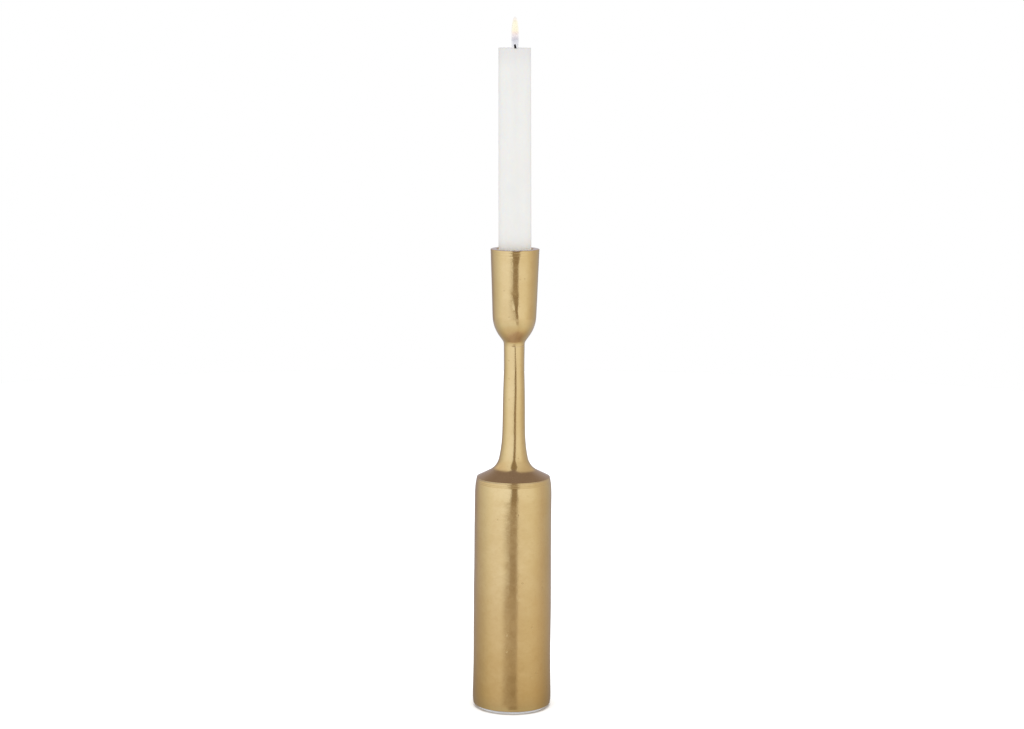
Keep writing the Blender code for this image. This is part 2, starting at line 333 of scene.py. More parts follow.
def brass(name, shift, rough):
    """Satin cast brass, ground by hand: mottled, finely pitted, with a grain that runs round.

    shift moves the pattern, so that no two castings have the same marks.
    """
    material, tree, shader, place = start_material(name)
    place = node(tree, "ShaderNodeMapping", {"Vector": place, "Location": (shift, 0.0, 0.0)})
    place = place.outputs["Vector"]
    tarnish = cloud(tree, place, 55.0, 4.0, 0.6)
    mottle = cloud(tree, place, 420.0, 3.0, 0.6)
    grain_place = stretched(tree, place, (1.0, 1.0, 9.0))
    grain = cloud(tree, grain_place, 330.0, 3.0, 0.65)
    warm = blend_colours(tree, spread(tree, tarnish, 0.35, 0.7), (0.935, 0.760, 0.425),
                         (0.900, 0.715, 0.380))
    colour = blend_colours(tree, spread(tree, mottle, 0.45, 0.75, 0.0, 0.35), warm,
                           (0.85, 0.650, 0.330))
    pit_cells = node(tree, "ShaderNodeTexVoronoi", {"Vector": place, "Scale": 300.0})
    pit_choice = node(tree, "ShaderNodeSeparateColor", {"Color": pit_cells.outputs["Color"]})
    chosen = maths(tree, "GREATER_THAN", pit_choice.outputs[0], 1.0 - PITTED_SHARE)
    pit = spread(tree, pit_cells.outputs["Distance"], 0.10, 0.30, 1.0, 0.0)
    pit = maths(tree, "MULTIPLY", pit, chosen)
    colour = blend_colours(tree, maths(tree, "MULTIPLY", pit, 0.2), colour,
                           (0.52, 0.36, 0.17))
    roughness = spread(tree, cloud(tree, place, 130.0, 4.0, 0.6), 0.3, 0.7, rough, rough + 0.05)
    roughness = maths(tree, "ADD", roughness, spread(tree, grain, 0.35, 0.75, 0.0, 0.05))
    roughness = maths(tree, "ADD", roughness, maths(tree, "MULTIPLY", pit, 0.15))
    normal = bump(tree, cloud(tree, place, 210.0, 2.0, 0.5), 0.00004)
    normal = bump(tree, grain, 0.000012, normal)
    normal = bump(tree, maths(tree, "MULTIPLY", pit, -1.0), 0.00003, normal)
    tree.links.new(colour, shader.inputs["Base Color"])
    tree.links.new(roughness, shader.inputs["Roughness"])
    tree.links.new(normal, shader.inputs["Normal"])
    shader.inputs["Metallic"].default_value = 1.0
    return material


def plated_steel(name, light, dark, rough, grain_scale):
    """Zinc-plated or bare steel: blotchy, with fine marks from the press or the die."""
    material, tree, shader, place = start_material(name)
    blotch = cloud(tree, place, 350.0, 4.0, 0.6)
    marks = cloud(tree, stretched(tree, place, (1.0, 6.0, 1.0)), grain_scale, 3.0, 0.6)
    colour = blend_colours(tree, spread(tree, blotch, 0.3, 0.7), light, dark)
    tree.links.new(colour, shader.inputs["Base Color"])
    roughness = spread(tree, marks, 0.3, 0.7, rough - 0.08, rough + 0.1)
    tree.links.new(roughness, shader.inputs["Roughness"])
    tree.links.new(bump(tree, marks, 0.00002), shader.inputs["Normal"])
    shader.inputs["Metallic"].default_value = 1.0
    return material


def felt():
    """Pale grey pressed felt with tangled fibres."""
    material, tree, shader, place = start_material("felt")
    fibres = cloud(tree, stretched(tree, place, (1.0, 1.7, 2.5)), 1400.0, 5.0, 0.75)
    tangle = cloud(tree, place, 500.0, 4.0, 0.65)
    colour = blend_colours(tree, spread(tree, fibres, 0.3, 0.7), (0.60, 0.605, 0.63),
                           (0.80, 0.805, 0.83))
    tree.links.new(colour, shader.inputs["Base Color"])
    height = maths(tree, "ADD", fibres, maths(tree, "MULTIPLY", tangle, 1.5))
    tree.links.new(bump(tree, height, 0.0002), shader.inputs["Normal"])
    shader.inputs["Roughness"].default_value = 0.95
    shader.inputs["Sheen Weight"].default_value = 0.5
    return material


def fibreboard():
    material, tree, shader, place = start_material("fibreboard")
    chips = cloud(tree, stretched(tree, place, (1.0, 1.0, 5.0)), 600.0, 5.0, 0.7)
    colour = blend_colours(tree, spread(tree, chips, 0.3, 0.7), (0.20, 0.13, 0.07),
                           (0.36, 0.25, 0.14))
    tree.links.new(colour, shader.inputs["Base Color"])
    tree.links.new(bump(tree, chips, 0.0001), shader.inputs["Normal"])
    shader.inputs["Roughness"].default_value = 0.9
    return material


def wax():
    """Off-white paraffin, a little cloudy, faintly drawn along its length; painted shade greys its
    top.
    """
    material, tree, shader, place = start_material("wax")
    drawn = cloud(tree, stretched(tree, place, (1.0, 1.0, 0.08)), 260.0, 3.0, 0.5)
    clouds = cloud(tree, place, 70.0, 3.0, 0.5)
    colour = blend_colours(tree, spread(tree, clouds, 0.35, 0.7), (0.905, 0.898, 0.872),
                           (0.885, 0.879, 0.856))
    colour = blend_colours(tree, spread(tree, drawn, 0.4, 0.7, 0.0, 0.3), colour,
                           (0.865, 0.86, 0.838))
    height = height_of(tree, place)
    # Painted shade: the wax greys over the top 16 mm of the candle, and more in the last mm at its
    # top edge.
    painted_top_shade = spread(tree, height, (CANDLE_TOP - 16.0) * MM, (CANDLE_TOP - 1.0) * MM, 0.0, 0.5)
    painted_edge_shade = spread(tree, height, (CANDLE_TOP - 1.2) * MM, (CANDLE_TOP - 0.2) * MM, 0.0, 0.4)
    painted_top_shade = maths(tree, "ADD", painted_top_shade, painted_edge_shade)
    colour = blend_colours(tree, painted_top_shade, colour, (0.76, 0.75, 0.755))
    tree.links.new(colour, shader.inputs["Base Color"])
    tree.links.new(spread(tree, clouds, 0.3, 0.7, 0.34, 0.46), shader.inputs["Roughness"])
    normal = bump(tree, drawn, 0.00003)
    normal = bump(tree, cloud(tree, place, 240.0, 2.0, 0.5), 0.00004, normal)
    tree.links.new(normal, shader.inputs["Normal"])
    shader.inputs["Subsurface Weight"].default_value = 0.3
    shader.inputs["Subsurface Radius"].default_value = (1.0, 0.8, 0.6)
    shader.inputs["Subsurface Scale"].default_value = 0.002
    return material


def burnt_cotton():
    material, tree, shader, place = start_material("burnt_cotton")
    crust = cloud(tree, place, 2600.0, 4.0, 0.7)
    colour = blend_colours(tree, spread(tree, crust, 0.4, 0.75), (0.003, 0.0025, 0.003),
                           (0.016, 0.012, 0.011))
    tree.links.new(colour, shader.inputs["Base Color"])
    tree.links.new(bump(tree, crust, 0.0001), shader.inputs["Normal"])
    shader.inputs["Roughness"].default_value = 0.92
    shader.inputs["Specular IOR Level"].default_value = 0.08
    return material


def flame_glow(base, top):
    """Thin light: bluish grey at the wick, rose above it, then cream, with a darker tip."""
    material, tree, shader, place = start_material("flame_glow")
    tree.nodes.remove(shader)
    height = height_of(tree, place)
    share = spread(tree, height, base * MM, top * MM, smooth=False)
    colour = ramp(tree, share, FLAME_COLOURS)
    light = node(tree, "ShaderNodeEmission", {"Color": colour, "Strength": 1.0})
    clear = node(tree, "ShaderNodeBsdfTransparent")
    thickness = ramp(tree, share, FLAME_THICKNESS)
    # Low down only the flame's far side shows, so that the wick in front of it stays dark.
    behind = node(tree, "ShaderNodeNewGeometry").outputs["Backfacing"]
    above_wick = maths(tree, "MAXIMUM", behind, spread(tree, share, 0.15, 0.28))
    thickness = maths(tree, "MULTIPLY", thickness, above_wick)
    mixed = node(tree, "ShaderNodeMixShader", {0: thickness, 1: clear.outputs[0],
                                               2: light.outputs[0]})
    tree.links.new(mixed.outputs[0], tree.nodes["Material Output"].inputs["Surface"])
    return material


def tabletop():
    material, tree, shader, place = start_material("tabletop")
    tooth = cloud(tree, place, 900.0, 3.0, 0.6)
    colour = blend_colours(tree, spread(tree, tooth, 0.3, 0.7), (0.90, 0.90, 0.90),
                           (0.92, 0.92, 0.92))
    tree.links.new(colour, shader.inputs["Base Color"])
    shader.inputs["Roughness"].default_value = 0.9
    return material


# The three castings

FOOT_CORNER = (25.85, METAL_BASE)
PILLAR_SIDE = [(26.16, 4.6), (26.25, 9.0), (26.03, 22.0), (25.88, 36.0), (25.95, 74.0),
               (25.73, 107.0), (25.62, 143.0)]
CROWN_PULLS = [(25.61, 149.0), (25.2, 153.6)]
CROWN_TOP_RADIUS = 24.46
BOARD_BORE = 23.4
LOWER_BORE = 23.0
UPPER_BORE = 21.8
BOARD_STEP = METAL_BASE + 2.3
LEDGE = high("base_plate") + GAP
CONE_ANGLE = 26.5
CONE_LENGTH = 8.9
TIGHT_END = 78.0
LOOSE_END = 89.0
STEM_TOP_RADIUS = 6.9
WAIST_PULL = (7.4, 208.0)
WAIST = (6.75, 228.0)
STEM_TOP_PULLS = [(6.64, 232.0), (6.84, 240.5)]
ROD_HOLE = ROD_RADIUS + GAP
ROD_HOLE_SPARE = 0.6  # blind depth in the cup past the end of the rod
REGISTER = 4.8
HOLLOW_TOP = 158.5
HOLLOW_RADII = (9.0, 18.5)
SOCKET_MOUTH = 12.0
SOCKET_FLOOR_RADIUS = 11.4
CUP_FILLET_PULLS = [(6.95, 246.9), (7.3, 247.6)]
CUP_NECK = (8.15, 248.75)
CUP_BOWL_PULLS = [(10.6, 252.3), (14.1, 256.1)]
CUP_WALL_BASE = (14.45, 264.9)

WAVE_SEED = 11
DENTS = 46
DENT_RING = 25.8      # mm from the axis
DENT_HEIGHTS = (8.0, 150.0)
DENT_SIZES = (0.9, 2.6)
DENT_DEPTHS = (0.008, 0.022)   # shares of a dent's size
CROWN_LINES = (153.5, 154.5, 155.5)
CROWN_ZONE = (150.6, 156.4)
FOOT_ZONE = (1.0, 4.0)
LIP_LINES = (RIM - 1.9, RIM - 3.6)
LIP_ZONE = (RIM - 4.6, RIM + 0.1)
LIP_RING = 0.8        # mm from one turning mark on the lip's top to the next
LIP_RING_DEPTH = 0.006
SEAM_HEIGHT = 0.24    # of the filed seam's ridge


def hand_finish(points):
    """Slow unevenness of the ground surface, shared by all the castings."""
    draw = np.random.default_rng(WAVE_SEED)
    slow = plane_waves(points, 22.0, 60.0, 0.006, 14, draw)
    ripple = plane_waves(points, 7.0, 15.0, 0.005, 26, draw)
    return slow + ripple


def pillar_relief(points):
    """Small dents all over, and fine lines turned into the crown."""
    draw = np.random.default_rng(SEED)
    angles = draw.uniform(0, 2 * math.pi, DENTS)
    heights = draw.uniform(*DENT_HEIGHTS, DENTS)
    places = np.stack([DENT_RING * np.cos(angles), DENT_RING * np.sin(angles), heights], axis=1)
    sizes = draw.uniform(*DENT_SIZES, DENTS)
    marks = dents(points, places, sizes, sizes * draw.uniform(*DENT_DEPTHS, DENTS))
    lines = grooves(points[:, 2], CROWN_LINES, width=0.24, depth=0.17)
    return hand_finish(points) + marks + lines


def ridge(points, bearing, half_width, height):
    """A low rounded ridge that runs up the casting, bearing degrees right of the front."""
    angle = np.degrees(np.arctan2(points[:, 0], -points[:, 1])) - bearing
    return height * np.exp(-0.5 * (angle / half_width) ** 2)


def rises(heights, start, end):
    """0 before the start height and 1 past the end, either of which can be the higher."""
    share = np.clip((heights - start) / (end - start), 0.0, 1.0)
    return share * share * (3.0 - 2.0 * share)


def leaning_front(points, bearing, half_width, lean):
    """Turns the surface to the left by lean where it faces bearing, and fades out beside it."""
    angle = np.arctan2(points[:, 0], -points[:, 1]) - math.radians(bearing)
    return lean * angle * np.exp(-0.5 * (angle / math.radians(half_width)) ** 2)


def stem_relief(points):
    """A little out of round at the front, with a low ridge of a filed seam at the top."""
    up = points[:, 2]
    uneven = leaning_front(points, bearing=6.0, half_width=33.0, lean=0.57)
    uneven *= rises(up, 160.0, 182.0)
    uneven *= 1.0 + 0.5 * rises(up, 200.0, 216.0)
    bearing = 3.0 + 6.0 * rises(up, 243.0, 231.0)
    seam = ridge(points, bearing, half_width=9.0, height=SEAM_HEIGHT) * rises(up, 224.0, 240.0)
    return hand_finish(points) + uneven + seam


def cup_relief(points):
    """Turning marks at the lip, flats down the front of the wall, a filed seam on the bowl."""
    up = points[:, 2]
    radius = np.hypot(points[:, 0], points[:, 1])
    outside = np.clip(radius - SOCKET_MOUTH - 0.6, 0.0, 1.0)
    outside = np.where(up < CUP_WALL_BASE[1], 1.0, outside)
    lines = grooves(up, LIP_LINES, width=0.24, depth=0.06)
    turning = LIP_RING_DEPTH * np.cos(radius * 2 * math.pi / LIP_RING) * (up > RIM - 0.3)
    bearing = 2.0 + 5.5 * rises(up, 276.0, 261.0)
    seam = ridge(points, bearing, half_width=8.0, height=SEAM_HEIGHT) * rises(up, 280.0, 266.0)
    drift = leaning_front(points, bearing=5.0, half_width=24.0, lean=1.8)
    seam = (seam + drift * rises(up, 278.0, 261.0)) * rises(up, 248.0, 257.0)
    flat = leaning_front(points, bearing=8.0, half_width=9.0, lean=1.0)
    flat *= rises(up, 269.0, 274.0) * (0.3 + 0.5 * rises(up, 284.0, 279.0)) * outside
    flare = leaning_front(points, bearing=13.0, half_width=9.0, lean=1.1)
    flare *= rises(up, 299.0, 307.0) * outside
    return hand_finish(points) * outside + lines + turning + seam + flat + flare


def make_pillar():
    mouth = (BOARD_BORE, METAL_BASE)
    side = fillet(mouth, FOOT_CORNER, PILLAR_SIDE[0], 0.45, 8)
    side += smooth_through([side[-1]] + PILLAR_SIDE, 12)[1:]
    top = BODY_RIM + GAP - 2 * SEAM
    side += bezier(PILLAR_SIDE[-1], *CROWN_PULLS, (CROWN_TOP_RADIUS, top - 0.12), 24)[1:]
    side += [(CROWN_TOP_RADIUS - 0.15, top)]
    visible = spaced([mouth] + side, STEP, FINE_STEP, [CROWN_ZONE, FOOT_ZONE])
    hidden = [(UPPER_BORE, top), (UPPER_BORE, LEDGE), (LOWER_BORE, LEDGE),
              (LOWER_BORE, BOARD_STEP), (BOARD_BORE, BOARD_STEP)]
    piece = turned("brass_pillar", visible, hidden, pillar_relief, 320)
    piece.data.materials.append(brass("pillar_brass", 0.0, 0.11))
    return piece


def make_stem():
    seat = BODY_RIM + GAP
    cone = math.radians(CONE_ANGLE)
    corner = (SHOULDER_RADIUS, SHOULDER)
    cone_top = (SHOULDER_RADIUS - CONE_LENGTH * math.cos(cone),
                SHOULDER + CONE_LENGTH * math.sin(cone))
    side = [(SHOULDER_RADIUS - 0.1, seat), (SHOULDER_RADIUS, seat + 0.08)]
    side += fillet(side[-1], corner, cone_top, 0.2, 4)
    side += [cone_top]
    side += sweep(cone_top, CONE_ANGLE, TIGHT_END, 13.0, 24)
    side += sweep(side[-1], TIGHT_END, LOOSE_END, 90.0, 12)
    base = side[-1]
    side += bezier(base, (base[0] - 0.26, base[1] + 15.0), WAIST_PULL, WAIST, 40)[1:]
    top = STEM_TOP + GAP / 2 - SEAM
    side += bezier(WAIST, *STEM_TOP_PULLS, (STEM_TOP_RADIUS, top), 20)[1:]
    visible = spaced(side, STEP)
    recess = CUP_LOW - GAP
    hidden = [(REGISTER + GAP, top), (REGISTER + GAP, recess), (ROD_HOLE, recess),
              (ROD_HOLE, HOLLOW_TOP), (HOLLOW_RADII[0], HOLLOW_TOP),
              (HOLLOW_RADII[1], SPIGOT_BASE),
              (UPPER_BORE - GAP, SPIGOT_BASE), (UPPER_BORE - GAP, seat)]
    piece = turned("brass_stem", visible, hidden, stem_relief, 256)
    piece.data.materials.append(brass("stem_brass", 0.35, 0.14))
    return piece


def make_cup():
    base = CUP_BASE - GAP / 2 + SEAM
    side = [(STEM_TOP_RADIUS, base)]
    side += bezier(side[-1], *CUP_FILLET_PULLS, CUP_NECK, 12)[1:]
    side += bezier(CUP_NECK, *CUP_BOWL_PULLS, CUP_WALL_BASE, 40)[1:]
    rim = (RIM_RADIUS, RIM)
    mouth = (SOCKET_MOUTH, RIM)
    floor_corner = (SOCKET_FLOOR_RADIUS, SOCKET_FLOOR)
    side += fillet(CUP_WALL_BASE, rim, mouth, 0.45, 8)
    side += fillet(rim, mouth, floor_corner, 0.5, 8)
    side += [(SOCKET_MOUTH - 0.1, RIM - 8.0)]
    visible = spaced(side, STEP, FINE_STEP, [LIP_ZONE])
    hole_top = ROD_TOP + ROD_HOLE_SPARE
    hidden = [floor_corner, (0.0, SOCKET_FLOOR), (0.0, hole_top), (ROD_HOLE, hole_top),
              (ROD_HOLE, CUP_LOW), (REGISTER, CUP_LOW), (REGISTER, base)]
    piece = turned("brass_cup", visible, hidden, cup_relief, 288)
    piece.data.materials.append(brass("cup_brass", 0.6, 0.085))
    return piece


# The candle, its wick and its flame

WICK_BORE = 1.0
POOL_DEPTH = 0.9
CANDLE_LEAN = 0.5     # degrees to the left; the candle stands a little askew in its cup
CANDLE_ASIDE = 0.4    # mm to the right of the cup's middle at its foot
CANDLE_SEED = 5
SPILL_SIZE = 1.5      # of the notch where wax ran over the front edge
SPILL_DEPTH = 0.75

WICK_ASIDE = 0.45     # mm to the right of the candle's middle
WICK_TIP = high("wick") - 1.1
WICK_LEAN = 9.0       # degrees to the left
WICK_RADIUS = 0.74
WICK_SIDES = 24
BARE_STEPS = 24       # rings up the wick's bare end
PLY_DEPTH = 0.08      # how far the three strands swell and dip
PLY_LENGTH = 3.2      # mm up the wick in which a strand goes once round
BURNT_WIDTH = 0.82    # the tip's width as a share of the wick's
CHARRED_END = 0.12    # the share of the bare end that is thinner still


def stand_askew(piece):
    """Lean a piece of the candle over, as the whole candle does."""
    slope = math.tan(math.radians(CANDLE_LEAN))
    for vertex in piece.data.vertices:
        vertex.co.x += CANDLE_ASIDE * MM - (vertex.co.z - CANDLE_BASE * MM) * slope


def candle_relief(points):
    draw = np.random.default_rng(CANDLE_SEED)
    place = (WICK_ASIDE + 0.3, -CANDLE_RADIUS + 0.7, CANDLE_TOP)
    spill = dents(points, [place], [SPILL_SIZE], [SPILL_DEPTH])
    return plane_waves(points, 20.0, 70.0, 0.002, 14, draw) + spill


def make_candle():
    top_radius = CANDLE_RADIUS - 0.25
    wall_base = (CANDLE_RADIUS, CANDLE_BASE + 0.6)
    top_corner = (top_radius, CANDLE_TOP)
    pool_edge = (top_radius - 1.2, CANDLE_TOP)
    side = [(WICK_BORE, CANDLE_BASE), (CANDLE_RADIUS - 0.6, CANDLE_BASE), wall_base]
    side += fillet(wall_base, top_corner, pool_edge, 0.3, 6)
    side += bezier(pool_edge, (pool_edge[0] - 2.5, CANDLE_TOP - POOL_DEPTH),
                   (WICK_BORE + 3.0, CANDLE_TOP - POOL_DEPTH),
                   (WICK_BORE, CANDLE_TOP - POOL_DEPTH), 24)
    visible = spaced(side, 1.2)
    piece = turned("wax_candle", visible, [], candle_relief, 160)
    piece.data.materials.append(wax())
    stand_askew(piece)
    return piece


def make_wick():
    """Three plied strands, burnt thin and bent over where they stand out of the wax."""
    exit_height = CANDLE_TOP - POOL_DEPTH
    bare = high("wick") - exit_height
    tip_across = -bare * math.tan(math.radians(WICK_LEAN))
    route = [np.array((0.0, 0.0, up)) for up in np.arange(CANDLE_BASE + GAP, exit_height, 0.5)]
    bend = bezier((0.0, exit_height), (0.0, exit_height + bare / 3),
                  (tip_across / 2, exit_height + bare * 2 / 3),
                  (tip_across, WICK_TIP), BARE_STEPS)
    route += [np.array((across, 0.0, up)) for across, up in bend]
    off_middle = np.array((WICK_ASIDE, 0.0, 0.0))
    front = np.array((0.0, 1.0, 0.0))
    twist = 2 * math.pi / PLY_LENGTH
    verts = []
    for index, middle in enumerate(route):
        before = route[max(index - 1, 0)]
        after = route[min(index + 1, len(route) - 1)]
        along = (after - before) / np.linalg.norm(after - before)
        side = np.array((along[2], 0.0, -along[0]))
        left = (len(route) - 1 - index) / BARE_STEPS
        thin = 1.0 if left > 1 else BURNT_WIDTH + (1 - BURNT_WIDTH) * left
        if left < CHARRED_END:
            thin *= 0.55 + 0.45 * left / CHARRED_END
        for step in range(WICK_SIDES):
            angle = 2 * math.pi * step / WICK_SIDES
            strands = math.cos(3 * (angle - twist * middle[2]))
            radius = thin * (WICK_RADIUS + PLY_DEPTH * strands)
            verts.append(middle + radius * (math.cos(angle) * side + math.sin(angle) * front)
                         + off_middle)
    faces = []
    last = (len(route) - 1) * WICK_SIDES
    for lower in range(0, last, WICK_SIDES):
        upper = lower + WICK_SIDES
        for step in range(WICK_SIDES):
            following = (step + 1) % WICK_SIDES
            faces.append((lower + step, lower + following, upper + following, upper + step))
    faces.append(tuple(reversed(range(WICK_SIDES))))
    faces.append(tuple(range(last, last + WICK_SIDES)))
    mesh = bpy.data.meshes.new("cotton_wick")
    mesh.from_pydata([tuple(vert * MM) for vert in verts], [], faces)
    mesh.shade_smooth()
    piece = add_object("cotton_wick", mesh)
    piece.data.materials.append(burnt_cotton())
    stand_askew(piece)
    return piece


FLAME_BASE = CANDLE_TOP + 0.1
FLAME_HEIGHT = 20.0
FLAME_RADIUS = 2.55
FLAME_SHELLS = 4
FLAME_SIDES = 40
FLAME_STEPS = 32
FLAME_ASIDE = 0.25    # mm to the right of the candle's middle
FLAME_COLOURS = [     # up the flame, as shares of its height
    (0.00, (0.58, 0.58, 0.66)),
    (0.24, (0.58, 0.58, 0.66)),
    (0.34, (0.66, 0.58, 0.64)),
    (0.42, (0.84, 0.68, 0.66)),
    (0.49, (0.97, 0.78, 0.62)),
    (0.55, (1.00, 0.92, 0.64)),
    (0.84, (1.00, 0.93, 0.68)),
    (0.92, (0.96, 0.84, 0.72)),
    (0.97, (0.84, 0.74, 0.68)),
    (1.00, (0.76, 0.68, 0.64)),
]
FLAME_SWELLS_TO = 0.25
FLAME_TAPERS_FROM = 0.40
FLAME_BLUNTNESS = 0.42   # below 1, the flame stays wide for longer
FLAME_THICKNESS = [(0.0, 0.19), (0.25, 0.21), (0.33, 0.12), (0.38, 0.10), (0.5, 0.15),
                   (0.8, 0.19), (1.0, 0.24)]


def make_flame():
    """Nested teardrops of thin light, so that it is faint at its edge.

    Each is narrower and shorter than the last and starts a little higher.
    """
    mesh = bpy.data.meshes.new("flame")
    bm = bmesh.new()
    for shell in range(FLAME_SHELLS):
        size = 1.0 - 0.13 * shell
        height = FLAME_HEIGHT * (1.0 - 0.06 * shell)
        rings = []
        for step in range(FLAME_STEPS + 1):
            share = step / FLAME_STEPS
            up = FLAME_BASE + 0.3 * shell + height * share
            width = size * FLAME_RADIUS * flame_width(share)
            ring = []
            for turn in range(FLAME_SIDES):
                angle = 2 * math.pi * turn / FLAME_SIDES
                ring.append(bm.verts.new(((width * math.cos(angle) + FLAME_ASIDE) * MM,
                                          width * math.sin(angle) * MM, up * MM)))
            rings.append(ring)
        for lower, upper in zip(rings, rings[1:]):
            for turn in range(FLAME_SIDES):
                following = (turn + 1) % FLAME_SIDES
                bm.faces.new((lower[turn], lower[following], upper[following], upper[turn]))
        bm.faces.new(reversed(rings[0]))
        bm.faces.new(rings[-1])
    bm.to_mesh(mesh)
    bm.free()
    mesh.shade_smooth()
    piece = add_object("flame", mesh)
    piece.data.materials.append(flame_glow(FLAME_BASE, FLAME_BASE + FLAME_HEIGHT))
    stand_askew(piece)
    piece.visible_shadow = False
    piece.visible_diffuse = False
    piece.visible_glossy = False
    return piece


def flame_width(share):
    """The flame's width up its height: full low down, then drawn out to a point."""
    swell = 0.94 + 0.06 * math.sin(math.pi * min(share / FLAME_SWELLS_TO, 1.0) / 2)
    drawn_out = max(share - FLAME_TAPERS_FROM, 0.0) / (1.0 - FLAME_TAPERS_FROM)
    taper = math.cos(math.pi / 2 * drawn_out) ** FLAME_BLUNTNESS
    return max(swell * taper, 0.03)


# The foot and the hidden ironwork

FELT_SEED = 3
THREAD_PITCH = 1.0
THREAD_DEPTH = 0.55
THREAD_LENGTHS = (24.0, 16.0)   # at the rod's foot and at its top
ROD_CHAMFER = (0.8, 0.6)        # along the rod and into it


def make_felt_pad():
    """A pressed disc, its cut edge a little rounded and furry."""
    side = [(0.0, 0.0), (PAD_RADIUS - 0.4, 0.0)]
    side += bezier(side[-1], (PAD_RADIUS - 0.05, 0.02), (PAD_RADIUS, 0.4),
                   (PAD_RADIUS, PAD_TOP / 2), 4)[1:]
    side += bezier(side[-1], (PAD_RADIUS, PAD_TOP - 0.4), (PAD_RADIUS - 0.05, PAD_TOP),
                   (PAD_RADIUS - 0.4, PAD_TOP), 4)[1:]

    def fur(points):
        draw = np.random.default_rng(FELT_SEED)
        rough = plane_waves(points, 0.9, 2.5, 0.12, 30, draw)
        radius = np.hypot(points[:, 0], points[:, 1])
        edge = np.clip(radius - PAD_RADIUS + 1.0, 0.0, 1.0)
        return np.minimum(rough, 0.0) * edge

    piece = turned("felt_disc", spaced(side, 0.5), [(0.0, PAD_TOP)], fur, 280)
    piece.data.materials.append(felt())
    return piece


def make_tie_rod():
    """A long stud with a rolled thread at each end."""
    lower_thread = ROD_BASE + THREAD_LENGTHS[0]
    upper_thread = ROD_TOP - THREAD_LENGTHS[1]
    fine = THREAD_PITCH / 8
    heights = list(np.arange(ROD_BASE, lower_thread, fine))
    heights += list(np.arange(lower_thread, upper_thread, 6.0))
    heights += list(np.arange(upper_thread, ROD_TOP, fine)) + [ROD_TOP]
    visible = [(ROD_RADIUS, up) for up in heights]

    def thread(points):
        up = points[:, 2]
        round_share = np.arctan2(points[:, 1], points[:, 0]) / (2 * math.pi)
        turn = (up / THREAD_PITCH - round_share) % 1.0
        valley = 1.0 - np.abs(2 * turn - 1.0)
        threaded = (up < lower_thread - THREAD_PITCH) | (up > upper_thread + THREAD_PITCH)
        long, deep = ROD_CHAMFER
        tip = np.clip((long - np.minimum(up - ROD_BASE, ROD_TOP - up)) / long, 0.0, 1.0)
        return -THREAD_DEPTH * valley * threaded - deep * tip

    piece = turned("threaded_rod", visible, [(0.0, ROD_TOP), (0.0, ROD_BASE)], thread, 32)
    piece.data.materials.append(plated_steel("rod_steel", (0.55, 0.55, 0.52),
                                             (0.42, 0.41, 0.37), 0.36, 900.0))
    return piece


def finish_carried_nodes():
    """Give the CAD pieces that stay the finish of steel or of board, and return them."""
    finishes = {
        "base_plate": plated_steel("plate_steel", (0.45, 0.44, 0.43), (0.30, 0.28, 0.26),
                                   0.48, 500.0),
        "flat_washer": plated_steel("washer_zinc", (0.58, 0.58, 0.55), (0.46, 0.45, 0.41),
                                    0.34, 900.0),
        "spring_washer": plated_steel("spring_steel", (0.33, 0.33, 0.34), (0.20, 0.19, 0.18),
                                      0.42, 1100.0),
        "hex_nut": plated_steel("nut_zinc", (0.56, 0.56, 0.53), (0.44, 0.43, 0.39),
                                0.34, 700.0),
        "backing_board": fibreboard(),
    }
    carried = [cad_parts[name] for name in finishes]
    for piece, material in zip(carried, finishes.values()):
        piece.data.materials.clear()
        piece.data.materials.append(material)
    return carried


# The studio

CAMERA_PLACE = (-0.0014, -1.5535, 0.464)
CAMERA_TILT = 8.49    # degrees down
CAMERA_ROLL = 0.43    # degrees
LENS = 83.45


def make_camera():
    data = bpy.data.cameras.new("camera")
    data.lens = LENS
    data.sensor_width = 36.0
    data.clip_end = 50.0
    camera = add_object("camera", data)
    aim = Matrix.Rotation(math.radians(90.0 - CAMERA_TILT), 4, "X")
    roll = Matrix.Rotation(math.radians(CAMERA_ROLL), 4, "Z")
    camera.matrix_world = Matrix.Translation(CAMERA_PLACE) @ aim @ roll
    bpy.context.scene.camera = camera


def make_disc(name, radius):
    bm = bmesh.new()
    bmesh.ops.create_circle(bm, cap_ends=True, radius=radius, segments=96)
    mesh = bpy.data.meshes.new(name)
    bm.to_mesh(mesh)
    bm.free()
    return add_object(name, mesh)


def make_floor():
    floor = make_disc("floor", 1.5)
    floor.data.materials.append(tabletop())
    floor.visible_glossy = False
    floor.visible_diffuse = False
    return floor


def make_overhead_light(floor):
    """A large soft panel over the table. The tent lights the object itself."""
    data = bpy.data.lights.new("overhead", "AREA")
    data.shape = "SQUARE"
    data.size = 1.6
    data.energy = 46.0
    light = add_object("overhead", data)
    light.location = (0.0, -0.25, 2.4)
    light.visible_camera = False
    light.visible_glossy = False
    lit = bpy.data.collections.new("lit_from_overhead")
    lit.objects.link(floor)
    light.light_linking.receiver_collection = lit


# Painted shade: this tint darkens and warms the reflections of the table near the object's foot.
TABLE_SHADE = [       # metres from the axis, and the tint that the tent's light takes there
    (0.0, (0.62, 0.555, 0.455)),
    (0.029, (0.63, 0.565, 0.465)),
    (0.076, (0.715, 0.625, 0.49)),
    (0.183, (0.84, 0.77, 0.67)),
    (0.304, (0.885, 0.83, 0.77)),
    (0.440, (0.93, 0.90, 0.88)),
    (0.605, (0.98, 0.97, 0.955)),
    (0.800, (1.0, 1.0, 1.0)),
]


